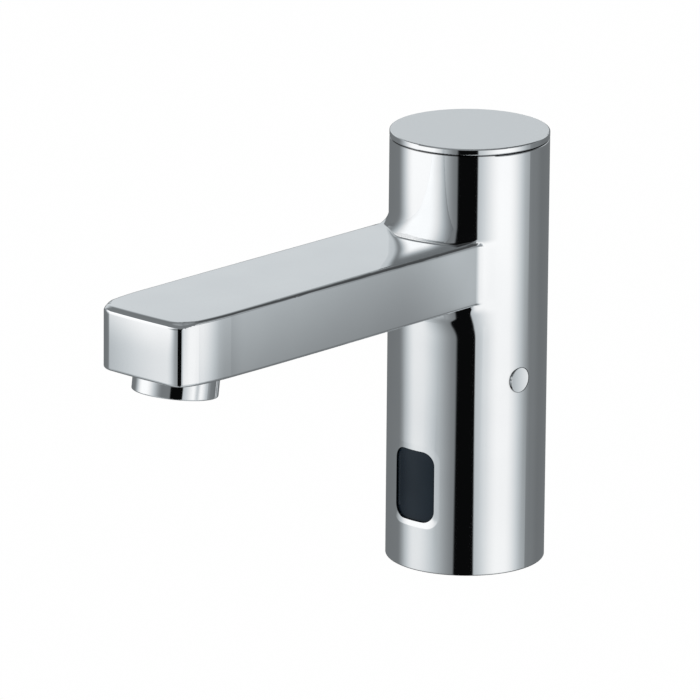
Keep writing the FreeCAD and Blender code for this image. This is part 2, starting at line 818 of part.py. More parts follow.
def make_diaphragm():
    """Rubber disc on the seat, its thick rim clamped under the bonnet."""
    return turned(
        "diaphragm",
        [(0.6, -4), (10.8, -4), (10.8, -2.5), (9.7, -2.5), (9.7, -3.2), (0.6, -3.2)],
        (0, 0, "valve_z"),
        "Y",
    )


def make_diaphragm_plate():
    """Stiff disc on the diaphragm, with the pilot nozzle."""
    return turned(
        "diaphragm_plate",
        [(0.5, -3.2), (6.5, -3.2), (6.5, -2), (1.6, -2), (1, -1.3), (0.5, -1.3)],
        (0, 0, "valve_z"),
        "Y",
    )


def make_valve_bonnet():
    """Square flange with the pressure chamber, and the closed guide tube of the armature."""
    flange = block(
        "bonnet_flange",
        ("-valve_half", "valve_back", "valve_z - valve_half"),
        ("valve_half", 2.2, "valve_z + valve_half"),
    )
    tube = rod("guide_tube", 5, 16.6, (0, 1, "valve_z"), "Y")
    cutters = [
        rod("pressure_chamber", 9, 3.4, (0, -2.6, "valve_z"), "Y"),
        rod("guide_bore", 4.1, 16.2, (0, 0, "valve_z"), "Y"),
    ]
    for number, (right, up) in enumerate(((1, 1), (-1, 1), (-1, -1), (1, -1))):
        spot = ("%d * screw_at" % right, -3, "valve_z + %d * screw_at" % up)
        cutters.append(rod("bonnet_hole_%d" % number, 1.35, 6, spot, "Y"))
    return carve("valve_bonnet", join("bonnet_solid", [flange, tube]), cutters)


def cap_screw(name, shank, shank_len, head, head_len, flats, at, along):
    """A socket-head screw: its head's seat is at the given point, the shank runs back along the axis."""
    direction = ALONG[along].multVec(Vec(0, 0, 1))

    def shifted(distance):
        parts = zip(at, (direction.x, direction.y, direction.z))
        return tuple("(%s) + %.4f" % (spot, round(share * distance, 4)) for spot, share in parts)

    whole = join(
        name + "_blank",
        [
            rod(name + "_shank", shank, shank_len, shifted(-shank_len), along),
            rod(name + "_head", head, head_len, at, along),
        ],
    )
    return carve(name, whole, [hex_rod(name + "_key", flats, head_len, shifted(head_len * 0.4), along)])


def make_bonnet_screws():
    screws = []
    for number, (right, up) in enumerate(((1, 1), (-1, 1), (-1, -1), (1, -1))):
        spot = ("%d * screw_at" % right, 2.2, "valve_z + %d * screw_at" % up)
        screws.append(cap_screw("bonnet_screw_%d" % number, 1.2, 10.6, 2.1, 1.4, 2, spot, "Y"))
    return group("bonnet_screws", screws)


def make_armature():
    """Iron plunger: a pocket for its seal in front and one for its spring behind."""
    return turned(
        "armature",
        [(0, 0.9), (1.9, 0.9), (1.9, -0.6), (4, -0.6), (4, 10.5), (3, 10.5), (3, 8), (0, 8)],
        (0, 0, "valve_z"),
        "Y",
    )


def make_armature_seal():
    return rod("armature_seal", 1.85, 2.2, (0, -1.3, "valve_z"), "Y")


def make_armature_spring():
    return coil("armature_spring", 2.3, 0.3, 1.6, 8.2, (0, 8.3, "valve_z"), "Y")


def make_coil_bobbin():
    return turned(
        "coil_bobbin",
        [
            (5.1, 3.4),
            (9.5, 3.4),
            (9.5, 4.4),
            (6.2, 4.4),
            (6.2, 14.6),
            (9.5, 14.6),
            (9.5, 15.6),
            (5.1, 15.6),
        ],
        (0, 0, "valve_z"),
        "Y",
    )


def make_coil_winding():
    """Taped winding, as the smooth sleeve that it is from outside."""
    return turned(
        "coil_winding",
        [(6.25, 4.45), (9, 4.45), (9, 14.55), (6.25, 14.55)],
        (0, 0, "valve_z"),
        "Y",
    )


def make_solenoid_yoke():
    """Closed iron frame round the coil."""
    frame = block("yoke_out", (-6.6, 2.4, "valve_z - 10.7"), (6.6, 16.8, "valve_z + 10.7"))
    inside = block("yoke_in", (-7, 3.2, "valve_z - 9.7"), (7, 15.8, "valve_z + 9.7"))
    return carve("solenoid_yoke", frame, [inside, rod("yoke_hole", 5.1, 16, (0, 2, "valve_z"), "Y")])


def make_solenoid_lead():
    return lead(
        "solenoid_lead",
        0.6,
        3.6,
        [(-9.7, 9.5, "valve_z"), (-9.7, 9.5, 49), (-2.4, 9.5, 49), (-2.4, -12.5, 49), (-2.4, -12.5, 42.4)],
    )


# ---------------------------------------------------------------------------------------------------------------
# Infrared sensor
# ---------------------------------------------------------------------------------------------------------------


def curved_panel(name, inner, outer, width, height, corner):
    """A rounded rectangle cut from a tube round the column's axis, at the window's height."""
    tube = carve(
        name + "_tube",
        rod(name + "_tube_out", outer, 36, (0, 0, 8)),
        [rod(name + "_tube_in", inner, 36, (0, 0, 8))],
    )
    outline = capsule(name + "_shape", width, height, corner, 10, (0, -21, "(window_low + window_high) / 2"))
    return overlap(name, tube, outline)


def make_sensor_lens():
    """Dark lens that follows the column's curve, with a wider flange behind the window."""
    window_w = "2 * (window_half - lens_gap)"
    window_h = "window_high - window_low - 2 * lens_gap"
    front = curved_panel("lens_front", 19.9, "lens_face_r", window_w, window_h, "window_corner_r - lens_gap")
    flange = curved_panel("lens_flange", 19.2, 20, 17.6, 24.9, 4.8)
    return join("sensor_lens", [front, flange])


def make_lens_gasket():
    sheet = curved_panel("gasket_sheet", 20.03, 20.47, 17.6, 24.9, 4.8)
    opening = capsule("gasket_opening", 15.5, 22.5, 4.2, 12, (0, -21, "(window_low + window_high) / 2"))
    return carve("lens_gasket", sheet, [opening])


SENSOR_SCREWS = ((6.5, 38.3), (-6.5, 38.3), (-6.5, 14.2), (6.5, 14.2))


def make_sensor_housing():
    """Box behind the lens: open to the front, with a ledge for the board and open to the cover behind."""
    outside = overlap(
        "housing_outside",
        block("housing_block", (-9, -20, "base_recess_z"), (9, -9, 39.8)),
        rod("housing_curve", 19.15, 40, (0, 0, 0)),
    )
    cutters = [
        block("housing_front_way", (-6.6, -20, 16.8), (6.6, -12, 36.2)),
        block("housing_back_way", (-7.6, -12.2, 16), (7.6, -8.9, 37)),
    ]
    for number, (x, z) in enumerate(SENSOR_SCREWS):
        cutters.append(rod("housing_thread_%d" % number, 0.85, 5, (x, -13.6, z), "Y"))
    return carve("sensor_housing", outside, cutters)


def make_sensor_board():
    return block("sensor_board", (-7.4, -12.2, 16.2), (7.4, -10.8, 36.8))


def make_ir_emitter():
    """Domed diode that looks out through the lens."""
    return turned(
        "ir_emitter",
        [(0, 0), (2.9, 0), (2.9, 0.8), (2.5, 0.8), (2.5, 3.4), (2, 4.4), (1.1, 5.1), (0, 5.4)],
        (0, -12.2, 32),
        "-Y",
    )


def make_ir_receiver():
    """Shorter diode below the emitter, with a shade round it."""
    return turned(
        "ir_receiver",
        [(0, 0), (3.2, 0), (3.2, 4.4), (2.7, 4.4), (2.7, 2.6), (1.8, 3.4), (0, 3.8)],
        (0, -12.2, 21),
        "-Y",
    )


def make_sensor_back_cover():
    plate = block("cover_plate", (-8.8, -9, 12.4), (8.8, -7.6, 39.6))
    holes = [
        rod("cover_hole_%d" % number, 0.9, 3, (x, -9.8, z), "Y") for number, (x, z) in enumerate(SENSOR_SCREWS)
    ]
    return carve("sensor_back_cover", plate, [group("cover_holes", holes)])


def make_sensor_screws():
    screws = []
    for number, (x, z) in enumerate(SENSOR_SCREWS):
        screws.append(cap_screw("sensor_screw_%d" % number, 0.8, 5.4, 1.5, 1, 1.2, (x, -7.6, z), "Y"))
    return group("sensor_screws", screws)


def make_lead_plugs():
    """Two small plugs on the sensor housing, one for each lead."""
    plugs = []
    for side, sign in INLETS:
        low = ("%d * 2.4 - 1.8" % sign, -14.3, 39.8)
        high = ("%d * 2.4 + 1.8" % sign, -10.7, 42.4)
        plugs.append(block("lead_plug_" + side, low, high))
    return group("lead_plugs", plugs)


# ---------------------------------------------------------------------------------------------------------------
# Battery under the cap
# ---------------------------------------------------------------------------------------------------------------


def make_battery():
    return stadium("battery", "cell_end_x", "cell_r", "cell_low", "cell_high")


def make_battery_cradle():
    """Thin cup for the battery, with two tabs that are screwed to the valve body."""
    floor_top = "cradle_floor + cradle_floor_thick"
    solids = [stadium("cradle_outside", "cell_end_x", "cell_r + 1", "cradle_floor", "cradle_top")]
    cutters = [
        stadium("cradle_inside", "cell_end_x", "cell_r + 0.2", floor_top, "cradle_top + 1"),
        rod("lead_hole", 1.1, 4, (-11, 13, 90)),
    ]
    for side, sign in INLETS:
        low = ("%d * screw_at - 2" % sign, "valve_front", "cradle_floor")
        high = ("%d * screw_at + 2" % sign, -5.6, floor_top)
        solids.append(block("cradle_tab_" + side, low, high))
        cutters.append(rod("cradle_hole_" + side, 1.2, 4, ("%d * screw_at" % sign, -10.2, 90)))
    return carve("battery_cradle", join("cradle_solid", solids), cutters)


def make_cradle_screws():
    screws = []
    for side, sign in INLETS:
        seat = ("%d * screw_at" % sign, -10.2, "cradle_floor + cradle_floor_thick")
        screws.append(cap_screw("cradle_screw_" + side, 1, 7, 1.7, 1.2, 1.5, seat, "Z"))
    return group("cradle_screws", screws)


def make_battery_contacts():
    """Two sprung buttons on the cradle's floor."""
    contacts = []
    for side, sign in INLETS:
        contact = turned(
            "contact_" + side,
            [(0, 93.2), (2.6, 93.2), (2.6, 93.6), (1.4, 93.6), (1.2, 94.5), (0, 94.5)],
            ("%d * cell_end_x" % sign, "cell_y", 0),
        )
        contacts.append(contact)
    return group("battery_contacts", contacts)


def make_battery_lead():
    return lead(
        "battery_lead",
        0.6,
        3.6,
        [(-11, 13, 93.8), (-11, 13, 49), (2.4, 13, 49), (2.4, -12.5, 49), (2.4, -12.5, 42.4)],
    )


# ---------------------------------------------------------------------------------------------------------------
# Water way to the tip
# ---------------------------------------------------------------------------------------------------------------


def make_spout_tube():
    return turned(
        "spout_tube",
        [
            ("tube_bore_r", "-tube_back"),
            ("tube_r", "-tube_back"),
            ("tube_r", "-tube_front"),
            ("tube_bore_r", "-tube_front"),
        ],
        (0, 0, "tube_z"),
        "-Y",
    )


def make_tube_o_rings():
    rings = [
        ring("tube_ring_back", 4.62, 0.55, (0, -16.7, "tube_z"), "Y"),
        ring("tube_ring_front", 4.62, 0.55, (0, -109.5, "tube_z"), "Y"),
    ]
    return group("tube_o_rings", rings)


def make_outlet_adapter():
    """Elbow from the spout tube into a round chamber over the aerator."""
    socket = carve(
        "adapter_socket",
        rod("adapter_socket_rod", 6.2, 12, (0, -118, "tube_z"), "Y"),
        [block("pad_relief", (-7, -119, 86), (7, "0.2 - pad_back", "pad_high + 0.3"))],
    )
    whole = join("adapter_solid", [rod("adapter_chamber", 11.6, 8, aerator_point(13.5), "AERATOR"), socket])
    groove = carve(
        "adapter_groove",
        rod("adapter_groove_out", 13, 1.4, aerator_point(14.6), "AERATOR"),
        [rod("adapter_groove_in", 10.6, 1.4, aerator_point(14.6), "AERATOR")],
    )
    cutters = [
        rod("adapter_hollow", 9.5, 7.3, aerator_point(13), "AERATOR"),
        rod("adapter_tube_seat", 4.05, 9, (0, "tube_front", "tube_z"), "Y"),
        rod("adapter_tube_groove", 5.2, 1.8, (0, -110.4, "tube_z"), "Y"),
        rod("adapter_passage", 3, 8, (0, -120, "tube_z"), "Y"),
        groove,
    ]
    return carve("outlet_adapter", whole, cutters)


def make_adapter_o_ring():
    return ring("adapter_o_ring", 11.29, 0.66, aerator_point(15.3), "AERATOR")


# ---------------------------------------------------------------------------------------------------------------
# Aerator, about its own tipped axis
# ---------------------------------------------------------------------------------------------------------------


def make_aerator_collar():
    collar = aerator_turned(
        "aerator_collar",
        [
            ("collar_lip_r", 0),
            ("collar_r", 0),
            ("collar_r", "collar_len"),
            ("thread_male_r", "collar_len"),
            ("thread_male_r", "collar_top"),
            ("collar_bore_r", "collar_top"),
            ("collar_bore_r", 1.2),
            ("collar_lip_r", 1.2),
        ],
    )
    low = value("aer_z")
    soften(collar, "edge_r", lambda box: box.ZMin < low + 0.01 and box.XLength > 25)
    return collar


def make_aerator_insert():
    """Cup with a plate of jets above."""
    cup = aerator_turned(
        "insert_cup",
        [(8.9, 1.25), (10.5, 1.25), (10.5, 11.6), (4.1, 11.6), (4.1, 10.6), (9.3, 10.6), (9.3, 1.7), (8.9, 1.7)],
    )
    jets = []
    for number in range(12):
        angle = math.radians(30 * number)
        across, along = 7 * math.cos(angle), 7 * math.sin(angle)
        spot = (
            across,
            "aer_y + sin(aer_tilt) * 10 + cos(aer_tilt) * %.4f" % along,
            "aer_z + cos(aer_tilt) * 10 - sin(aer_tilt) * %.4f" % along,
        )
        jets.append(rod("jet_%d" % number, 0.6, 2.2, spot, "AERATOR"))
    return carve("aerator_insert", cup, [group("jets", jets)])


def make_aerator_screen():
    """Honeycomb across the mouth."""
    disc = rod("screen_disc", 9.25, 1.4, aerator_point(1.75), "AERATOR")
    pitch = 2.15
    rings = 3
    cells = []
    for row in range(-rings, rings + 1):
        for column in range(-rings, rings + 1):
            if abs(row + column) > rings:
                continue
            across = pitch * (column + row / 2)
            along = pitch * row * math.sqrt(3) / 2
            spot = (
                round(across, 4),
                "aer_y + sin(aer_tilt) * 1 + cos(aer_tilt) * %.4f" % along,
                "aer_z + cos(aer_tilt) * 1 - sin(aer_tilt) * %.4f" % along,
            )
            cells.append(hex_rod("cell_%d" % len(cells), 1.6, 3, spot, "AERATOR"))
    return carve("aerator_screen", disc, [group("cells", cells)])


def make_aerator_gasket():
    return aerator_turned("aerator_gasket", [(8.7, 11.65), (10.5, 11.65), (10.5, 13.4), (8.7, 13.4)])


def make_flow_regulator():
    return aerator_turned(
        "flow_regulator",
        [(1.3, 10.6), (4, 10.6), (4, 11.65), (4.8, 11.65), (4.8, 12.5), (2, 12.5), (1.3, 11.8)],
    )


# ---------------------------------------------------------------------------------------------------------------
# All the nodes
# ---------------------------------------------------------------------------------------------------------------

nodes = [
    make_body_shell(),
    make_top_cap(),
    make_cap_o_ring(),
    make_side_plug(),
    make_plug_o_ring(),
    make_base_insert(),
    make_base_gasket(),
    make_riser_o_rings(),
    make_inlet_filters(),
    make_valve_manifold(),
    make_mixing_spindle(),
    make_spindle_o_rings(),
    make_spindle_retainer(),
    make_diaphragm(),
    make_diaphragm_plate(),
    make_valve_bonnet(),
    make_bonnet_screws(),
    make_armature(),
    make_armature_seal(),
    make_armature_spring(),
    make_coil_bobbin(),
    make_coil_winding(),
    make_solenoid_yoke(),
    make_solenoid_lead(),
    make_sensor_lens(),
    make_lens_gasket(),
    make_sensor_housing(),
    make_sensor_board(),
    make_ir_emitter(),
    make_ir_receiver(),
    make_sensor_back_cover(),
    make_sensor_screws(),
    make_lead_plugs(),
    make_battery(),
    make_battery_cradle(),
    make_cradle_screws(),
    make_battery_contacts(),
    make_battery_lead(),
    make_spout_tube(),
    make_tube_o_rings(),
    make_outlet_adapter(),
    make_adapter_o_ring(),
    make_aerator_collar(),
    make_aerator_insert(),
    make_aerator_screen(),
    make_aerator_gasket(),
    make_flow_regulator(),
]
for inlet_side, inlet_sign in INLETS:
    nodes.append(make_riser(inlet_side, inlet_sign))
    nodes.append(make_check_valve(inlet_side, inlet_sign))
    nodes.append(make_check_poppet(inlet_side, inlet_sign))
    nodes.append(make_check_spring(inlet_side, inlet_sign))

doc.recompute()

for item in doc.Objects:
    if "Invalid" in item.State or "Error" in item.State:
        raise RuntimeError("%s is in state %s" % (item.Name, item.State))

os.makedirs("parts", exist_ok=True)
for node in nodes:
    node.Label = node.Name
    if node.Shape.isNull() or not node.Shape.isValid() or not node.Shape.Solids:
        raise RuntimeError("%s has no valid solid" % node.Name)
    node.Shape.exportStep("parts/%s.step" % node.Name)
    print("%-20s %d solid(s), %.1f mm3" % (node.Name, len(node.Shape.Solids), node.Shape.Volume))
print(len(nodes), "nodes")
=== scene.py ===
"""Looks of a chrome sensor tap: camera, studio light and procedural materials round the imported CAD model."""
import json
import math
from types import SimpleNamespace

import bpy
from mathutils import Matrix, Vector


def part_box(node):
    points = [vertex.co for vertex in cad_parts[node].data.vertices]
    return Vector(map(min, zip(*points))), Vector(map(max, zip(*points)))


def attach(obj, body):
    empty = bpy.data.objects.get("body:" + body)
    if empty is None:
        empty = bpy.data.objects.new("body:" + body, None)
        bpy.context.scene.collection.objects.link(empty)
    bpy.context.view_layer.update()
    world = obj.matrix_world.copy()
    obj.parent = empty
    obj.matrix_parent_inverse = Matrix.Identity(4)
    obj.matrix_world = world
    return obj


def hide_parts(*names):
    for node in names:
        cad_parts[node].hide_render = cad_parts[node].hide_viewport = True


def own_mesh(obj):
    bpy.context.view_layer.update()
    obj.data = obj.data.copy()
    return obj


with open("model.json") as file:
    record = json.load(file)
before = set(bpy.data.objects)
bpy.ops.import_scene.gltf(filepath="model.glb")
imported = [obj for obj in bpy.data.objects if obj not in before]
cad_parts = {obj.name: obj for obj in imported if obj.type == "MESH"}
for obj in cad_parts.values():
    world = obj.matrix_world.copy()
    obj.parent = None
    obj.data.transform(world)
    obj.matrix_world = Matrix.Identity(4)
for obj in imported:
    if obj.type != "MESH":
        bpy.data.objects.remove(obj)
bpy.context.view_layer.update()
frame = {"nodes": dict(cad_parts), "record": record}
NODES = frame["nodes"]
SLOT_OF = {p["node"]: p["material_slot"] for p in frame["record"]["subparts"]}

PALE = 0.997                            # the white of the table, and of what is seen behind it
SPOUT_LOW, SPOUT_HIGH = 0.0842, 0.1040  # the spout's flat underside and top, in metres
UNDER_EDGE = (0.0843, 0.0846)           # heights over which what is done under the spout ends
OVER_EDGE = (0.1035, 0.1039)            # heights over which what is done on its top starts
PER_COLUMN_RADIUS = 41.7                # makes a place on the column the direction that it faces
TO_THE_RIGHT = math.radians(42.0)       # where the lights are seen from, round from the spout's front


class Web:
    """A node tree that is built from expressions. A value is a socket, or a number for a socket's setting."""

    def __init__(self, tree):
        self.tree = tree
        tree.nodes.clear()

    def node(self, kind, **settings):
        made = self.tree.nodes.new(kind)
        for key, setting in settings.items():
            setattr(made, key, setting)
        return made

    def feed(self, socket, value):
        if value is None:
            return
        if isinstance(value, bpy.types.NodeSocket):
            self.tree.links.new(value, socket)
        else:
            socket.default_value = value

    def math(self, operation, a, b=None, c=None):
        made = self.node("ShaderNodeMath", operation=operation)
        for socket, value in zip(made.inputs, (a, b, c)):
            self.feed(socket, value)
        return made.outputs[0]

    def add(self, a, b):
        return self.math("ADD", a, b)

    def sub(self, a, b):
        return self.math("SUBTRACT", a, b)

    def mul(self, a, b):
        return self.math("MULTIPLY", a, b)

    def ease(self, x, low, high, start=0.0, end=1.0):
        """Goes smoothly from start to end while x goes from low to high, and stays there outside them."""
        made = self.node("ShaderNodeMapRange", interpolation_type="SMOOTHSTEP")
        for socket, value in zip(made.inputs, (x, low, high, start, end)):
            self.feed(socket, value)
        return made.outputs[0]

    def fade(self, x, low, high):
        """Goes from 1 to 0."""
        return self.ease(x, low, high, 1.0, 0.0)

    def within(self, x, rise, fall):
        """1 between two limits. It rises over the first pair of values and falls over the second."""
        return self.mul(self.ease(x, *rise), self.fade(x, *fall))

    def product(self, first, *others):
        for factor in others:
            first = self.mul(first, factor)
        return first

    def total(self, first, *others):
        for term in others:
            first = self.add(first, term)
        return first

    def scale(self, x, low, high, start, end):
        """The same with a straight line in between."""
        made = self.node("ShaderNodeMapRange")
        for socket, value in zip(made.inputs, (x, low, high, start, end)):
            self.feed(socket, value)
        return made.outputs[0]

    def mix(self, factor, a, b):
        made = self.node("ShaderNodeMix", data_type="FLOAT")
        for socket, value in zip((made.inputs[0], made.inputs[2], made.inputs[3]), (factor, a, b)):
            self.feed(socket, value)
        return made.outputs[0]

    def blend(self, factor, a, b):
        """A colour from a to b."""
        made = self.node("ShaderNodeMix", data_type="RGBA")
        for socket, value in zip((made.inputs[0], made.inputs[6], made.inputs[7]), (factor, a, b)):
            self.feed(socket, value if isinstance(value, bpy.types.NodeSocket) or socket is made.inputs[0]
                      else (*value, 1.0))
        return made.outputs[2]

    def vector(self, operation, a, b=None, scale=None):
        made = self.node("ShaderNodeVectorMath", operation=operation)
        self.feed(made.inputs[0], a)
        self.feed(made.inputs[1], b)
        if scale is not None:
            self.feed(made.inputs[3], scale)
        return made.outputs[0]

    def between(self, share, a, b):
        """A vector from a to b."""
        return self.vector("ADD", self.vector("SCALE", a, scale=self.sub(1.0, share)),
                           self.vector("SCALE", b, scale=share))

    def parts(self, vector):
        made = self.node("ShaderNodeSeparateXYZ")
        self.feed(made.inputs[0], vector)
        return made.outputs[0], made.outputs[1], made.outputs[2]

    def joined(self, x, y, z):
        made = self.node("ShaderNodeCombineXYZ")
        for socket, value in zip(made.inputs, (x, y, z)):
            self.feed(socket, value)
        return made.outputs[0]

    def place(self):
        return self.node("ShaderNodeTexCoord").outputs["Object"]

    def noise(self, scale, detail=2.0, stretch=(1, 1, 1)):
        made = self.node("ShaderNodeTexNoise")
        made.inputs["Scale"].default_value = scale
        made.inputs["Detail"].default_value = detail
        self.feed(made.inputs["Vector"], self.vector("MULTIPLY", self.place(), stretch))
        return made.outputs[0]

    def bump(self, height, distance, strength=1.0):
        made = self.node("ShaderNodeBump")
        made.inputs["Strength"].default_value = strength
        made.inputs["Distance"].default_value = distance
        self.feed(made.inputs["Height"], height)
        return made.outputs[0]


# ---------------------------------------------------------------------------------------------- studio

def studio():
    """Two tall softboxes with a black flag between them, a grey room and a pale backdrop, all painted on the
    world by direction. Azimuth 0 is straight in front of the tap and grows towards its right."""
    world = bpy.data.worlds.new("studio")
    bpy.context.scene.world = world
    world.use_nodes = True
    w = Web(world.node_tree)
    x, y, z = w.parts(w.node("ShaderNodeTexCoord").outputs["Generated"])
    azimuth = w.mul(w.math("ARCTAN2", x, w.mul(y, -1.0)), math.degrees(1.0))
    elevation = w.mul(w.math("ARCSINE", z), math.degrees(1.0))
    bearing = w.math("MODULO", w.add(azimuth, 360.0), 360.0)

    # The lower column, the spout and the tipped collar mirror the softboxes at different heights.
    upper = w.ease(elevation, -16.3, -14.9)
    raised = w.within(elevation, (-13.0, -4.0), (0.0, 8.0))
    collar = w.within(elevation, (-13.6, -11.6), (0.0, 8.0))

    # Both softboxes: their edges from left to right, their level, and their lower and upper ends.
    left = w.product(
        w.ease(w.add(azimuth, w.mul(upper, 8.0)), -74.0, -38.0),
        w.fade(w.add(azimuth, w.mul(raised, 16.0)), w.mix(upper, -34.0, -18.7), w.mix(upper, 30.0, 23.5)),
        w.mix(upper, 0.59, 0.80),
        w.ease(elevation, -40.0, -17.0, 0.55, 1.0),
        w.fade(elevation, 16.0, 22.0))
    right = w.product(
        w.ease(azimuth, 46.0, 90.0, 0.36, 1.0),
        w.mix(collar, w.ease(azimuth, 98.5, 149.0, 1.0, 0.04), w.ease(azimuth, 80.0, 100.0, 1.0, 0.15)),
        w.within(azimuth, (52.8, 55.2), (150.0, 172.0)),
        w.mix(upper, 0.73, 0.81),
        w.ease(elevation, -40.0, -17.0, 0.6, 1.0),
        w.fade(elevation, 7.0, 14.0))
    flag = w.mul(w.within(azimuth, (23.0, 26.5), (52.4, 54.6)), w.fade(elevation, 5.0, 13.0))

    # The backdrop is what flat tops mirror. The room's walls are shaded where the spout's side looks upwards.
    behind, backdrop_level = 222.0, 0.60
    backdrop = w.mul(w.fade(w.math("ABSOLUTE", w.sub(bearing, behind)), 40.0, 66.0),
                     w.within(elevation, (3.0, 9.0), (22.0, 50.0)))
    shade = w.mul(w.ease(elevation, -6.0, 6.0), w.within(bearing, (128.0, 140.0), (176.0, 190.0)))
    walls = w.ease(w.math("ABSOLUTE", azimuth), 60.0, 130.0, 0.18, 0.155)
    ceiling = w.ease(elevation, 56.0, 72.0, 0.0, 0.12)
    room = w.add(w.mul(walls, w.sub(1.0, w.mul(shade, 0.6))), ceiling)

    # What the chrome mirrors twice, over the spout's top, would come out too dark.
    twice_mirrored = w.ease(elevation, 6.0, 12.0, 1.0, 1.2)
    flag_depth, gain = 0.985, 1.22
    level = w.add(room, w.mul(w.add(left, right), twice_mirrored))
    level = w.mix(backdrop, level, backdrop_level)
    level = w.product(level, w.sub(1.0, w.mul(flag, flag_depth)), gain)
    tint = w.blend(w.ease(level, 0.55, 1.15), (0.94, 1.0, 1.035), (1.0, 1.0, 1.0))
    colour = w.vector("SCALE", tint, scale=level)

    lights = w.node("ShaderNodeBackground")
    w.feed(lights.inputs["Color"], colour)
    plain = w.node("ShaderNodeBackground")
    plain.inputs["Color"].default_value = (PALE, PALE, PALE, 1.0)
    chosen = w.node("ShaderNodeMixShader")
    w.feed(chosen.inputs[0], w.node("ShaderNodeLightPath").outputs["Is Camera Ray"])
    w.feed(chosen.inputs[1], lights.outputs[0])
    w.feed(chosen.inputs[2], plain.outputs[0])
    w.feed(w.node("ShaderNodeOutputWorld").inputs[0], chosen.outputs[0])


def floor():
    """A plain white table, lit from within so that no hard shadow falls on it. Chrome doesn't mirror it."""
    mesh = bpy.data.meshes.new("floor")
    half, top = 9.0, -0.0003
    mesh.from_pydata([(-half, -half, top), (half, -half, top), (half, half, top), (-half, half, top)],
                     [], [(0, 1, 2, 3)])
    table = bpy.data.objects.new("floor", mesh)
    bpy.context.scene.collection.objects.link(table)
    table.visible_glossy = False
    material = bpy.data.materials.new("floor_white")
    material.use_nodes = True
    w = Web(material.node_tree)
    surface = w.node("ShaderNodeEmission")
    surface.inputs["Color"].default_value = (PALE, PALE, PALE, 1.0)
    w.feed(w.node("ShaderNodeOutputMaterial").inputs[0], surface.outputs[0])
    mesh.materials.append(material)


def camera():
    """The photograph's viewpoint: 42 degrees round to the right of the spout's front, 16 degrees above, and
    half a degree off level. It looks at the middle of the picture."""
    round_right, above, roll = (math.radians(degrees) for degrees in (42.15122, 16.12791, 0.51265))
    middle, distance = Vector((-0.01035, -0.040977, 0.07008)), 2.7
    data = bpy.data.cameras.new("camera")
    made = bpy.data.objects.new("camera", data)
    bpy.context.scene.collection.objects.link(made)
    data.lens, data.sensor_width = 466.49, 36.0
    data.clip_start, data.clip_end = 0.1, 60.0
    turn = (Matrix.Rotation(round_right, 4, "Z") @ Matrix.Rotation(math.pi / 2 - above, 4, "X")
            @ Matrix.Rotation(roll, 4, "Z"))
    made.matrix_world = Matrix.Translation(middle) @ turn @ Matrix.Translation((0.0, 0.0, distance))
    bpy.context.scene.camera = made


# ------------------------------------------------------------------------------------------- materials

def surface(name, paint):
    """A material whose Principled shader paint(web, shader) sets up."""
    material = bpy.data.materials.new(name)
    material.use_nodes = True
    w = Web(material.node_tree)
    shader = w.node("ShaderNodeBsdfPrincipled")
    paint(w, shader)
    w.feed(w.node("ShaderNodeOutputMaterial").inputs[0], shader.outputs[0])
    return material


def metal(colour, dark, roughness, grain, stretch=(1, 1, 1), depth=0.0):
    """Metal whose colour and polish vary a little along a grain."""
    def paint(w, s):
        n = w.noise(grain, 4.0, stretch)
        w.feed(s.inputs["Base Color"], w.blend(w.ease(n, 0.3, 0.7), dark, colour))
        w.feed(s.inputs["Roughness"], w.scale(n, 0.3, 0.7, roughness[0], roughness[1]))
        s.inputs["Metallic"].default_value = 1.0
        if depth:
            w.feed(s.inputs["Normal"], w.bump(n, depth))
    return paint


def plastic(colour, dark, roughness, grain, depth=0.00002, specular=0.5):
    """Moulded plastic or rubber with a fine texture."""
    def paint(w, s):
        n = w.noise(grain, 3.0)
        w.feed(s.inputs["Base Color"], w.blend(w.ease(n, 0.3, 0.7), dark, colour))
        w.feed(s.inputs["Roughness"], w.scale(n, 0.3, 0.7, roughness[0], roughness[1]))
        s.inputs["Specular IOR Level"].default_value = specular
        w.feed(s.inputs["Normal"], w.bump(n, depth))
    return paint


def turned_normal(w, normal, angle):
    """The normal turned about the vertical by a small angle, anticlockwise from above."""
    nx, ny, _ = w.parts(normal)
    return w.vector("ADD", normal, w.joined(w.mul(w.mul(ny, angle), -1.0), w.mul(nx, angle), 0.0))


def nearby_lights(w, normal):
    """The softboxes stand close, so from the spout's tip they appear turned by up to ten degrees. The world
    can't show that, and the normals, turned the other way by half as much, do."""
    _, y, _ = w.parts(w.place())
    nx, ny, _ = w.parts(normal)
    forward = w.scale(y, -0.03, -0.14, 0.0, 0.083)
    both = w.mul(w.mul(nx, ny), -2.0)
    difference = w.sub(w.mul(ny, ny), w.mul(nx, nx))
    seen_from_side = w.sub(w.mul(both, math.cos(TO_THE_RIGHT)), w.mul(difference, math.sin(TO_THE_RIGHT)))
    return turned_normal(w, normal, w.product(forward, seen_from_side, -1.0))


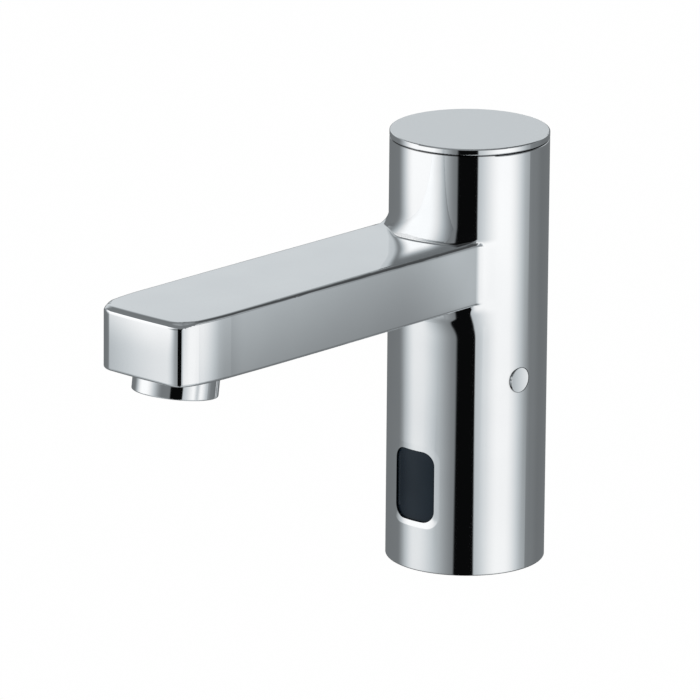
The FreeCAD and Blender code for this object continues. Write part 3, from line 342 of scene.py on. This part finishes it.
def chrome(w, s, normal=None, cloudier=None, corner_shade=None):
    """Polished chrome: nearly a mirror, a little cloudier in patches, and darkened in colour with painted
    shade in narrow gaps and where the caller asks for it.
    """
    patches = w.noise(55.0, 2.0)
    polish = w.blend(w.ease(patches, 0.3, 0.7), (0.80, 0.812, 0.822), (0.82, 0.832, 0.84))
    # Painted shade: ambient occlusion darkens the base colour in narrow gaps, such as the line under the cap.
    gap_shade = w.node("ShaderNodeAmbientOcclusion", samples=8)
    gap_shade.inputs["Distance"].default_value = 0.0012
    unshaded_share = w.ease(gap_shade.outputs["AO"], 0.45, 0.93, 0.10, 1.0)
    # Painted shade asked for by the caller, such as the hollow at the spout's root, darkens the colour
    # further.
    unshaded_share = w.mul(unshaded_share, w.sub(1.0, corner_shade)) if corner_shade else unshaded_share
    w.feed(s.inputs["Base Color"], w.vector("SCALE", polish, scale=unshaded_share))
    rough = w.scale(patches, 0.3, 0.7, 0.045, 0.065)
    w.feed(s.inputs["Roughness"], w.add(rough, cloudier) if cloudier else rough)
    s.inputs["Metallic"].default_value = 1.0
    normal = normal or w.node("ShaderNodeNewGeometry").outputs["Normal"]
    w.feed(s.inputs["Normal"], w.vector("NORMALIZE", nearby_lights(w, normal)))


def spot_on_casting(w):
    """Where a point of the casting is, and which way it faces."""
    normal = w.node("ShaderNodeNewGeometry").outputs["Normal"]
    nx, ny, nz = w.parts(normal)
    x, y, z = w.parts(w.place())
    return SimpleNamespace(x=x, y=y, z=z, normal=normal, nx=nx, ny=ny, nz=nz, sideways=w.math("ABSOLUTE", nx),
                           upright=w.fade(w.math("ABSOLUTE", nz), 0.05, 0.35))


def window_rim(w, at):
    """How far the polished edge of the sensor's window rolls into the opening."""
    low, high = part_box("sensor_lens")
    corner, rolled, inwards = 0.004, 0.0007, -0.04
    middle = (low.z + high.z) / 2
    from_middle = w.sub(at.z, middle)
    out_x = w.math("MAXIMUM", w.sub(w.math("ABSOLUTE", at.x), high.x - corner), 0.0)
    out_z = w.math("MAXIMUM", w.sub(w.math("ABSOLUTE", from_middle), high.z - middle - corner), 0.0)
    reach = w.math("SQRT", w.add(w.mul(out_x, out_x), w.mul(out_z, out_z)))
    depth = w.mul(w.ease(w.sub(reach, corner), 0.0, rolled, inwards, 0.0), w.fade(at.y, -0.020, -0.018))
    per_metre = w.math("DIVIDE", depth, w.math("MAXIMUM", reach, 0.001))
    return w.joined(w.product(out_x, w.math("SIGN", at.x), per_metre), 0.0,
                    w.product(out_z, w.math("SIGN", from_middle), per_metre))


def front_crown(w, at):
    """The spout's front face is slightly crowned from side to side and from top to bottom."""
    on_front = w.product(w.ease(w.mul(at.ny, -1.0), 0.6, 0.95), at.upright, w.fade(at.y, -0.046, -0.034))
    bow = w.mul(on_front, w.scale(at.x, -0.013, 0.011, -0.165, -0.055))
    crown = w.mul(on_front, w.scale(at.z, SPOUT_LOW, SPOUT_HIGH, -0.009, 0.009))
    return w.joined(bow, 0.0, crown)


def root_corners(w, at):
    """The normals where the spout's top and underside meet the column, and the share of the small hollow in
    the top corner, where painted shade darkens the colour. Over the spout the blend looks tight: the column's
    roundness runs down to a line and the flat top starts there. Under it, the column's roundness runs up to
    the edge."""
    from_axis = w.joined(w.mul(at.x, PER_COLUMN_RADIUS), w.mul(at.y, PER_COLUMN_RADIUS), 0.0)
    climb = w.ease(w.add(at.z, w.ease(at.x, -0.011, -0.003, -0.0007, 0.0)), SPOUT_HIGH, 0.1043)
    climb = w.math("MAXIMUM", climb, w.mul(w.ease(at.x, 0.0172, 0.0180), w.ease(at.y, -0.0225, -0.0195)))
    over = w.product(
        w.within(at.y, (-0.040, -0.032), (-0.012, -0.008)),
        w.ease(at.z, *OVER_EDGE),
        w.ease(at.x, -0.0165, -0.010),
        w.mix(climb, w.fade(at.x, 0.0165, 0.0182), w.fade(at.x, 0.0200, 0.0215)))
    corner = w.vector("ADD", w.vector("SCALE", from_axis, scale=climb),
                      w.joined(0.0, 0.0, w.sub(1.0, climb)))
    under = w.product(
        w.within(at.z, (0.0770, 0.0785), UNDER_EDGE),
        w.within(at.y, (-0.030, -0.025), (-0.012, -0.010)),
        w.ease(at.x, 0.0098, 0.0112))
    shaped = w.between(under, w.between(over, at.normal, corner), from_axis)

    roll = w.product(
        w.ease(w.math("ABSOLUTE", at.x), 0.006, 0.0175, 0.0, 0.09),
        w.math("SIGN", at.x),
        w.ease(at.nz, 0.95, 0.995),
        w.within(at.z, OVER_EDGE, (0.110, 0.112)))
    # The hollow: its normals are tilted, and its colour is darkened with painted shade in chrome_casting.
    hollow = w.product(
        w.within(at.x, (0.005, 0.012), (0.0172, 0.0176)),
        w.ease(at.y, -0.0262, -0.0238),
        w.within(at.z, (0.1030, 0.1036), (0.1042, 0.1045)),
        w.ease(at.nz, 0.4, 0.7))
    lift = w.product(
        w.within(at.x, (0.0120, 0.0132), (0.0178, 0.0185)),
        w.fade(at.y, -0.0165, -0.0160),
        w.ease(at.z, 0.1042, 0.1045),
        w.ease(at.z, 0.1062, 0.1080, 0.16, 0.0))
    tilt = w.joined(w.add(roll, w.mul(hollow, 0.235)), w.mul(hollow, -0.26), lift)
    return w.vector("ADD", shaped, tilt), hollow


def side_swing(w, at):
    """How far the upright faces turn outwards, in radians, so that the spout's sides flow into the column."""
    to_side = w.mul(w.ease(at.sideways, 0.6, 0.95), at.upright)
    along_side = w.product(w.ease(at.y, -0.054, -0.018), w.fade(at.y, -0.0155, -0.0135), to_side, -0.087)
    at_root = w.product(
        w.within(at.y, (-0.020, -0.0155), (-0.0135, -0.0075)),
        w.math("SQRT", w.sub(1.0, w.math("MINIMUM", at.sideways, 1.0))),
        w.ease(at.sideways, 0.50, 0.70, 0.0, 0.67))
    meeting = w.product(
        w.ease(at.y, -0.0163, -0.0143, 0.28, 0.0),
        w.ease(at.y, -0.0176, -0.0166),
        w.within(at.sideways, (0.50, 0.70), (0.80, 0.95)))
    beside_spout = w.within(at.z, (0.081, 0.087), (0.1015, 0.1048))
    root = w.mul(beside_spout, w.total(at_root, meeting, along_side))

    under_spout = w.product(
        w.ease(at.z, 0.0735, 0.0842, 0.0, 0.12),
        w.fade(at.z, *UNDER_EDGE),
        w.within(at.sideways, (0.05, 0.25), (0.80, 0.92)),
        at.upright,
        w.ease(at.y, -0.024, -0.016, 1.6, 0.6))
    shoulder = w.product(
        w.within(at.sideways, (0.03, 0.20), (0.50, 0.65)),
        at.upright,
        w.ease(at.y, -0.138, -0.132, 0.055, 0.0))

    leaning = w.scale(at.z, SPOUT_LOW, SPOUT_HIGH, 0.03, -0.03)
    flank = w.mul(w.scale(at.y, -0.1346, -0.1285, -0.045, 0.038),
                  w.within(at.y, (-0.1380, -0.1355), (-0.1285, -0.1175)))
    side = w.product(w.add(leaning, flank), w.fade(at.y, -0.030, -0.018), to_side)
    return w.total(root, under_spout, shoulder, side)


def chrome_casting(w, s):
    """The polished casting: its flat faces are slightly crowned, the spout flows into the column, and painted
    shade darkens the small hollow in the top corner at the spout's root.
    """
    at = spot_on_casting(w)
    corners, hollow = root_corners(w, at)
    normal = w.vector("ADD", w.vector("ADD", corners, front_crown(w, at)), window_rim(w, at))
    outwards = w.mul(side_swing(w, at), w.math("SIGN", at.nx))
    # Painted shade: the hollow at the spout's top corner is darkened in colour.
    chrome(w, s, turned_normal(w, normal, outwards), corner_shade=w.mul(hollow, 0.85))


def chrome_plug(w, s):
    """The plug's face is dished by its polishing."""
    low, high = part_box("side_plug")
    _, y, _ = w.parts(w.place())
    tilt = w.scale(y, low.y, high.y, -0.09, -0.25)
    normal = w.node("ShaderNodeNewGeometry").outputs["Normal"]
    chrome(w, s, w.vector("ADD", normal, w.joined(0.0, tilt, 0.0)))


def chrome_cap(w, s):
    """The cap's top is satin."""
    _, _, nz = w.parts(w.node("ShaderNodeNewGeometry").outputs["Normal"])
    chrome(w, s, cloudier=w.ease(nz, 0.90, 0.99, 0.0, 0.20))


def wound(w, s):
    """Fine turns of wire under clear tape."""
    wave = w.node("ShaderNodeTexWave", bands_direction="Y")
    wave.inputs["Scale"].default_value = 900.0
    wave.inputs["Distortion"].default_value = 0.4
    w.feed(wave.inputs["Vector"], w.place())
    w.feed(s.inputs["Base Color"], w.blend(wave.outputs[1], (0.30, 0.11, 0.04), (0.66, 0.30, 0.13)))
    w.feed(s.inputs["Roughness"], w.scale(wave.outputs[1], 0.0, 1.0, 0.45, 0.28))
    s.inputs["Metallic"].default_value = 0.6
    w.feed(s.inputs["Normal"], w.bump(wave.outputs[1], 0.00005))


def lens(w, s):
    """Smoked plastic, polished, with a faint haze."""
    haze = w.noise(90.0, 2.0)
    smoke = w.blend(w.ease(haze, 0.3, 0.7), (0.006, 0.012, 0.020), (0.008, 0.015, 0.024))
    w.feed(s.inputs["Base Color"], smoke)
    w.feed(s.inputs["Roughness"], w.scale(haze, 0.3, 0.7, 0.10, 0.16))
    s.inputs["Specular IOR Level"].default_value = 0.24
    s.inputs["Specular Tint"].default_value = (0.78, 0.90, 1.0, 1.0)


def board(w, s):
    """Solder mask over a maze of tracks."""
    bricks = w.node("ShaderNodeTexBrick")
    bricks.inputs["Scale"].default_value = 260.0
    bricks.inputs["Mortar Size"].default_value = 0.06
    bricks.inputs["Color1"].default_value = (0.02, 0.16, 0.07, 1.0)
    bricks.inputs["Color2"].default_value = (0.03, 0.20, 0.09, 1.0)
    bricks.inputs["Mortar"].default_value = (0.05, 0.30, 0.13, 1.0)
    turned = w.node("ShaderNodeMapping")
    turned.inputs["Rotation"].default_value = (math.pi / 2, 0.0, 0.0)
    w.feed(turned.inputs["Vector"], w.place())
    w.feed(bricks.inputs["Vector"], turned.outputs[0])
    w.feed(s.inputs["Base Color"], bricks.outputs["Color"])
    w.feed(s.inputs["Roughness"], w.scale(w.noise(400.0), 0.3, 0.7, 0.28, 0.42))
    w.feed(s.inputs["Normal"], w.bump(bricks.outputs[1], 0.00003))


def clear(w, s):
    """Cast epoxy, a little blue, with a cloudy core."""
    cloud = w.noise(700.0, 2.0)
    w.feed(s.inputs["Base Color"], w.blend(w.ease(cloud, 0.3, 0.7), (0.62, 0.66, 0.80), (0.80, 0.84, 0.94)))
    w.feed(s.inputs["Roughness"], w.scale(cloud, 0.3, 0.7, 0.06, 0.16))
    s.inputs["Transmission Weight"].default_value = 0.6
    s.inputs["IOR"].default_value = 1.5


def battery_skin(w, s):
    """A shrunk sleeve: dark body, and a paler band at its upper end."""
    low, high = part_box("battery")
    _, _, z = w.parts(w.place())
    band_start = low.z + (high.z - low.z) * 0.70
    band = w.ease(z, band_start, band_start + 0.0003)
    soft = w.noise(120.0, 3.0)
    body = w.blend(w.ease(soft, 0.3, 0.7), (0.035, 0.05, 0.12), (0.05, 0.07, 0.16))
    w.feed(s.inputs["Base Color"], w.blend(band, body, (0.46, 0.47, 0.50)))
    w.feed(s.inputs["Roughness"], w.scale(soft, 0.3, 0.7, 0.22, 0.36))
    w.feed(s.inputs["Normal"], w.bump(soft, 0.00005))


PAINTS = {
    "chrome": chrome,
    "brass": metal((0.72, 0.58, 0.30), (0.62, 0.48, 0.23), (0.20, 0.32), 700.0, (1, 1, 14), 0.000008),
    "rubber": plastic((0.026, 0.026, 0.028), (0.016, 0.016, 0.017), (0.62, 0.80), 900.0, 0.00003, 0.35),
    "copper_tube": metal((0.76, 0.58, 0.36), (0.64, 0.44, 0.24), (0.20, 0.34), 260.0, (1, 1, 1), 0.00001),
    "filter_steel": metal((0.62, 0.63, 0.65), (0.42, 0.43, 0.45), (0.25, 0.45), 1500.0, (1, 1, 1), 0.00002),
    "valve_plastic": plastic((0.060, 0.064, 0.072), (0.040, 0.043, 0.050), (0.38, 0.52), 1100.0, 0.00002),
    "white_plastic": plastic((0.82, 0.82, 0.79), (0.76, 0.76, 0.73), (0.30, 0.42), 600.0, 0.00001),
    "steel": metal((0.60, 0.61, 0.63), (0.48, 0.49, 0.51), (0.22, 0.36), 900.0, (1, 14, 1), 0.000006),
    "iron": metal((0.46, 0.47, 0.48), (0.36, 0.37, 0.39), (0.42, 0.58), 500.0, (1, 1, 1), 0.00001),
    "diaphragm_rubber": plastic((0.050, 0.050, 0.056), (0.034, 0.034, 0.038), (0.55, 0.75), 700.0,
                                0.00003, 0.35),
    "copper": wound,
    "lead_jacket": plastic((0.030, 0.030, 0.036), (0.018, 0.018, 0.022), (0.42, 0.60), 1200.0, 0.00002),
    "lens_dark": lens,
    "board_green": board,
    "emitter_clear": clear,
    "receiver_dark": plastic((0.020, 0.018, 0.026), (0.010, 0.009, 0.014), (0.08, 0.18), 500.0, 0.000004),
    "battery_skin": battery_skin,
    "contact_metal": metal((0.80, 0.70, 0.45), (0.68, 0.57, 0.34), (0.18, 0.30), 800.0, (1, 1, 1), 0.000006),
    "screen_plastic": plastic((0.70, 0.72, 0.75), (0.60, 0.62, 0.66), (0.28, 0.44), 900.0, 0.00002),
}


def dress():
    """Every node takes its slot's material; three chrome nodes have their own finish of it."""
    made = {slot: surface(slot, paint) for slot, paint in PAINTS.items()}
    own = {
        "body_shell": surface("chrome_casting", chrome_casting),
        "side_plug": surface("chrome_plug", chrome_plug),
        "top_cap": surface("chrome_cap", chrome_cap),
    }
    for name, node in NODES.items():
        slot = SLOT_OF[name]
        node.data.materials.clear()
        node.data.materials.append(own.get(name, made[slot]))


def springs():
    """Each of the three springs gets a copy with its own mesh, attached to the tap body; the original is
    hidden.
    """
    for name, joint in (("armature_spring", "armature_slide"), ("check_spring_cold", "check_cold"),
                        ("check_spring_hot", "check_hot")):
        node = NODES[name]
        piece = bpy.data.objects.new(name + "_pressed", node.data.copy())
        bpy.context.scene.collection.objects.link(piece)
        piece.matrix_world = node.matrix_world.copy()
        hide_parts(name)
        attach(piece, "tap_body")
        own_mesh(piece)


studio()
floor()
camera()
dress()
springs()
bpy.context.scene.view_settings.view_transform = "Standard"
